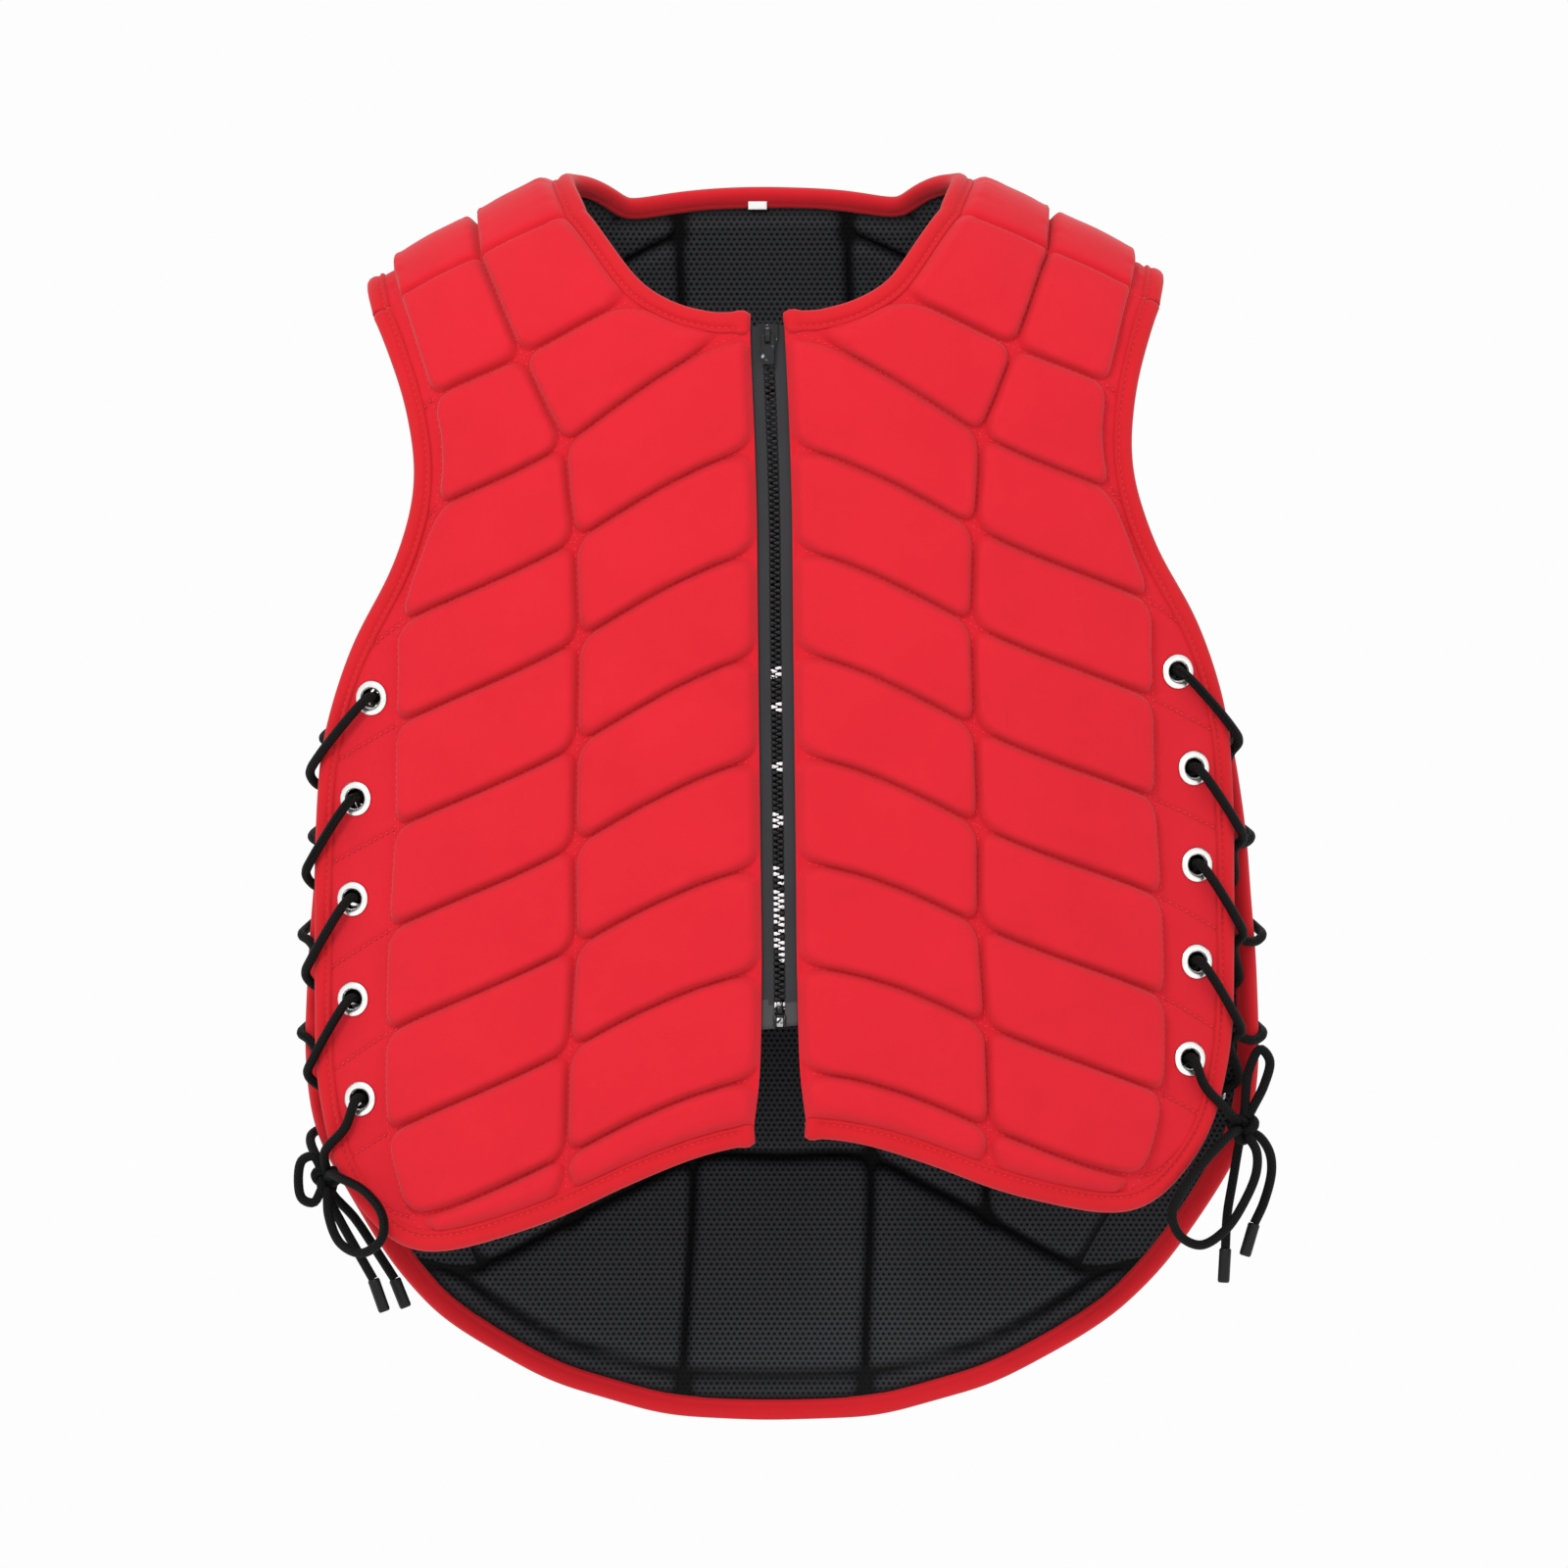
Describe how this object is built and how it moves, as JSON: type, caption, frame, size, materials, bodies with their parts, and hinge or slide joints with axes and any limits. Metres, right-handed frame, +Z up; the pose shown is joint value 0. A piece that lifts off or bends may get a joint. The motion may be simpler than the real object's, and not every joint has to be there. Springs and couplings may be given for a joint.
{
  "type": "equestrian body protector",
  "caption": "Sleeveless quilted foam vest with a front zip, laced side edges, a mesh lining and a longer rounded back.",
  "frame": {"origin": "midway between the shoulders, at the height where the straps sit", "axes": "+X to the wearer's left as seen from the front, -Y out of the front, +Z up to the neck"},
  "size_m": [0.5117, 0.1613, 0.6502],
  "materials": {
    "red_cloth": "matte smooth nylon over foam",
    "red_tape": "matte woven binding tape",
    "black_mesh": "matte knitted air mesh",
    "white_satin": "smooth satin ribbon",
    "zip_tape": "matte twill tape",
    "zip_plastic": "moulded acetal",
    "zip_metal": "satin black lacquer on die-cast zinc",
    "eyelet_metal": "bright nickel plate on pressed brass",
    "black_cord": "braided round polyester",
    "aglet_plastic": "moulded plastic tips"
  },
  "bodies": {
    "vest": {"back_binding": "red_tape", "back_lining": "black_mesh", "back_panel": "red_cloth", "eyelet_back_left_1": "eyelet_metal", "eyelet_back_left_2": "eyelet_metal", "eyelet_back_left_3": "eyelet_metal", "eyelet_back_left_4": "eyelet_metal", "eyelet_back_left_5": "eyelet_metal", "eyelet_back_right_1": "eyelet_metal", "eyelet_back_right_2": "eyelet_metal", "eyelet_back_right_3": "eyelet_metal", "eyelet_back_right_4": "eyelet_metal", "eyelet_back_right_5": "eyelet_metal", "eyelet_front_left_1": "eyelet_metal", "eyelet_front_left_2": "eyelet_metal", "eyelet_front_left_3": "eyelet_metal", "eyelet_front_left_4": "eyelet_metal", "eyelet_front_left_5": "eyelet_metal", "eyelet_front_right_1": "eyelet_metal", "eyelet_front_right_2": "eyelet_metal", "eyelet_front_right_3": "eyelet_metal", "eyelet_front_right_4": "eyelet_metal", "eyelet_front_right_5": "eyelet_metal", "front_binding_left": "red_tape", "front_binding_right": "red_tape", "front_lining_left": "black_mesh", "front_lining_right": "black_mesh", "front_panel_left": "red_cloth", "front_panel_right": "red_cloth", "lace_aglet_left_1": "aglet_plastic", "lace_aglet_left_2": "aglet_plastic", "lace_aglet_right_1": "aglet_plastic", "lace_aglet_right_2": "aglet_plastic", "lace_knot_left": "black_cord", "lace_knot_right": "black_cord", "lace_loop_left_1": "black_cord", "lace_loop_left_2": "black_cord", "lace_loop_right_1": "black_cord", "lace_loop_right_2": "black_cord", "lace_tail_left_1": "black_cord", "lace_tail_left_2": "black_cord", "lace_tail_right_1": "black_cord", "lace_tail_right_2": "black_cord", "lacing_left": "black_cord", "lacing_right": "black_cord", "neck_binding": "red_tape", "neck_label": "white_satin", "zip_bottom_box": "zip_plastic", "zip_bottom_stop": "zip_metal", "zip_chain": "zip_plastic", "zip_slider": "zip_metal", "zip_tape_left": "zip_tape", "zip_tape_right": "zip_tape"},
    "pull": {"zip_pull": "zip_metal"}
  },
  "joints": [
    {"name": "pull_swing", "type": "hinge", "parent": "vest", "child": "pull", "pos_m": [-0.00348, -0.07909, -0.041], "axis": [-1, 0, 0], "range_deg": [0, 165]}
  ]
}
